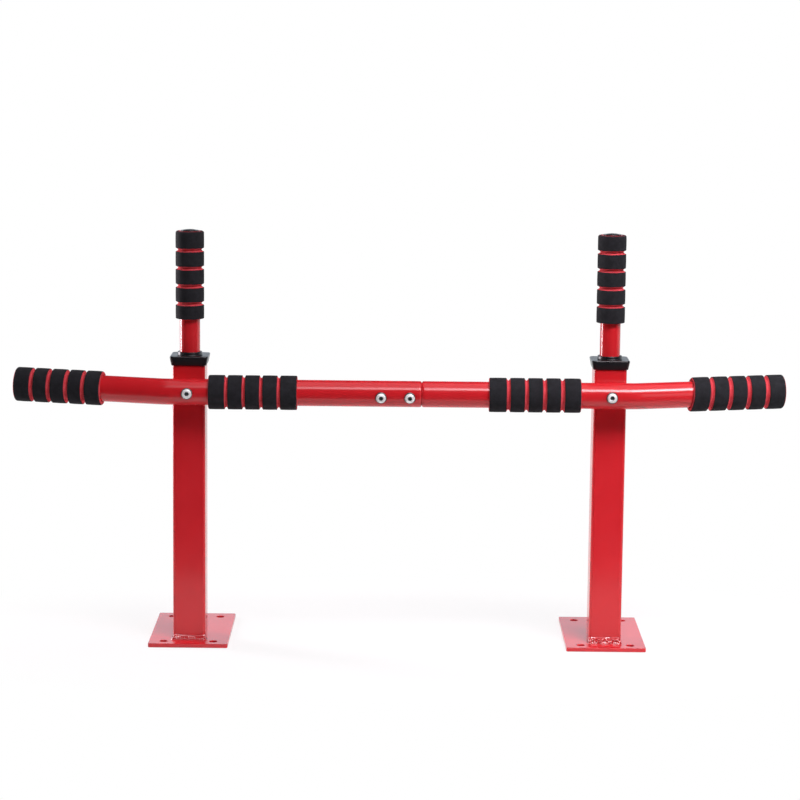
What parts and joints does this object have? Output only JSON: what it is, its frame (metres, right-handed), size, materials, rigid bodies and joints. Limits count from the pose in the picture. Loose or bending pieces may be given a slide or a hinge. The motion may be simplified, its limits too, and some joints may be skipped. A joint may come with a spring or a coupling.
{
  "type": "wall-mounted pull-up bar",
  "caption": "Wall-mounted pull-up bar with square arms on bolted plates, a bent cross bar joined in the middle, upright handles and grooved foam grips.",
  "frame": {"origin": "in the plane of the wall, midway between the arms and in the middle of the part's depth", "axes": "+Z out of the wall along the arms, +X along the bar to the side without the join screws, -Y upwards on the wall, towards the bar and the bolt heads"},
  "size_m": [0.947, 0.1773, 0.5143],
  "materials": {
    "left_wall_plate": "smooth glossy red powder coat on steel",
    "left_arm": "smooth glossy red powder coat on steel",
    "left_handle_tube": "smooth glossy red powder coat on steel",
    "left_bar": "smooth glossy red powder coat on steel",
    "right_wall_plate": "smooth glossy red powder coat on steel",
    "right_arm": "smooth glossy red powder coat on steel",
    "right_handle_tube": "smooth glossy red powder coat on steel",
    "right_bar": "smooth glossy red powder coat on steel",
    "left_arm_front_weld": "rippled weld under glossy red powder coat",
    "left_arm_back_weld": "rippled weld under glossy red powder coat",
    "right_arm_front_weld": "rippled weld under glossy red powder coat",
    "right_arm_back_weld": "rippled weld under glossy red powder coat",
    "left_handle_grip": "matt closed-cell foam, black outside over a red inner layer",
    "left_inner_bar_grip": "matt closed-cell foam, black outside over a red inner layer",
    "left_outer_bar_grip": "matt closed-cell foam, black outside over a red inner layer",
    "right_handle_grip": "matt closed-cell foam, black outside over a red inner layer",
    "right_inner_bar_grip": "matt closed-cell foam, black outside over a red inner layer",
    "right_outer_bar_grip": "matt closed-cell foam, black outside over a red inner layer",
    "left_arm_cap": "smooth black moulded plastic",
    "left_handle_end_plug": "smooth black moulded plastic",
    "left_bar_end_plug": "smooth black moulded plastic",
    "right_arm_cap": "smooth black moulded plastic",
    "right_handle_end_plug": "smooth black moulded plastic",
    "right_bar_end_plug": "smooth black moulded plastic",
    "left_arm_bolt": "bright zinc plating",
    "left_arm_bolt_washer": "bright zinc plating",
    "left_arm_bolt_nut": "bright zinc plating",
    "left_join_screw": "bright zinc plating",
    "left_join_screw_nut": "bright zinc plating",
    "right_arm_bolt": "bright zinc plating",
    "right_arm_bolt_washer": "bright zinc plating",
    "right_arm_bolt_nut": "bright zinc plating",
    "right_join_screw": "bright zinc plating",
    "right_join_screw_nut": "bright zinc plating"
  },
  "bodies": {
    "root": {"left_wall_plate": "left_wall_plate", "left_arm": "left_arm", "left_handle_tube": "left_handle_tube", "left_bar": "left_bar", "right_wall_plate": "right_wall_plate", "right_arm": "right_arm", "right_handle_tube": "right_handle_tube", "right_bar": "right_bar", "left_arm_front_weld": "left_arm_front_weld", "left_arm_back_weld": "left_arm_back_weld", "right_arm_front_weld": "right_arm_front_weld", "right_arm_back_weld": "right_arm_back_weld", "left_handle_grip": "left_handle_grip", "left_inner_bar_grip": "left_inner_bar_grip", "left_outer_bar_grip": "left_outer_bar_grip", "right_handle_grip": "right_handle_grip", "right_inner_bar_grip": "right_inner_bar_grip", "right_outer_bar_grip": "right_outer_bar_grip", "left_arm_cap": "left_arm_cap", "left_handle_end_plug": "left_handle_end_plug", "left_bar_end_plug": "left_bar_end_plug", "right_arm_cap": "right_arm_cap", "right_handle_end_plug": "right_handle_end_plug", "right_bar_end_plug": "right_bar_end_plug", "left_arm_bolt": "left_arm_bolt", "left_arm_bolt_washer": "left_arm_bolt_washer", "left_arm_bolt_nut": "left_arm_bolt_nut", "left_join_screw": "left_join_screw", "left_join_screw_nut": "left_join_screw_nut", "right_arm_bolt": "right_arm_bolt", "right_arm_bolt_washer": "right_arm_bolt_washer", "right_arm_bolt_nut": "right_arm_bolt_nut", "right_join_screw": "right_join_screw", "right_join_screw_nut": "right_join_screw_nut"}
  },
  "joints": []
}
